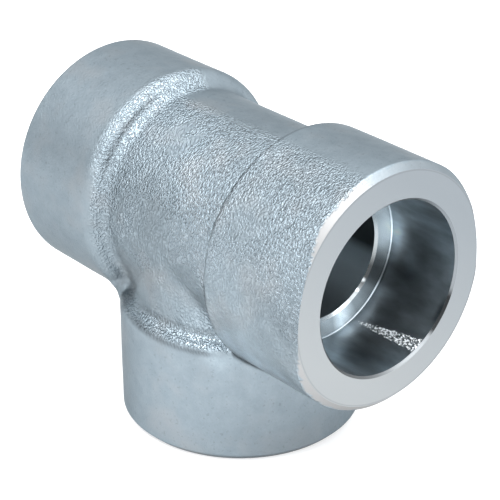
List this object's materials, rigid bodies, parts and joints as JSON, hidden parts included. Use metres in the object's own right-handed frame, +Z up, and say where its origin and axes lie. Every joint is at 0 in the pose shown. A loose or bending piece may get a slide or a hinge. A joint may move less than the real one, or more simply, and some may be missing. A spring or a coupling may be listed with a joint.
{
  "type": "socket weld tee",
  "caption": "Forged steel socket weld pipe tee: equal arms with thick bands around turned sockets that hold pipe ends, and a flow passage through all of them.",
  "frame": {"origin": "middle of the branch's end face, on the surface that the tee stands on", "axes": "+X along the run, out of the front socket; -Z along the branch, out of its socket; +Z up"},
  "size_m": [0.0672, 0.039, 0.0531],
  "materials": {
    "forged_steel": "shot-blasted forged skin, with turned end faces and sockets"
  },
  "bodies": {
    "root": {"tee_body": "forged_steel"}
  },
  "joints": []
}
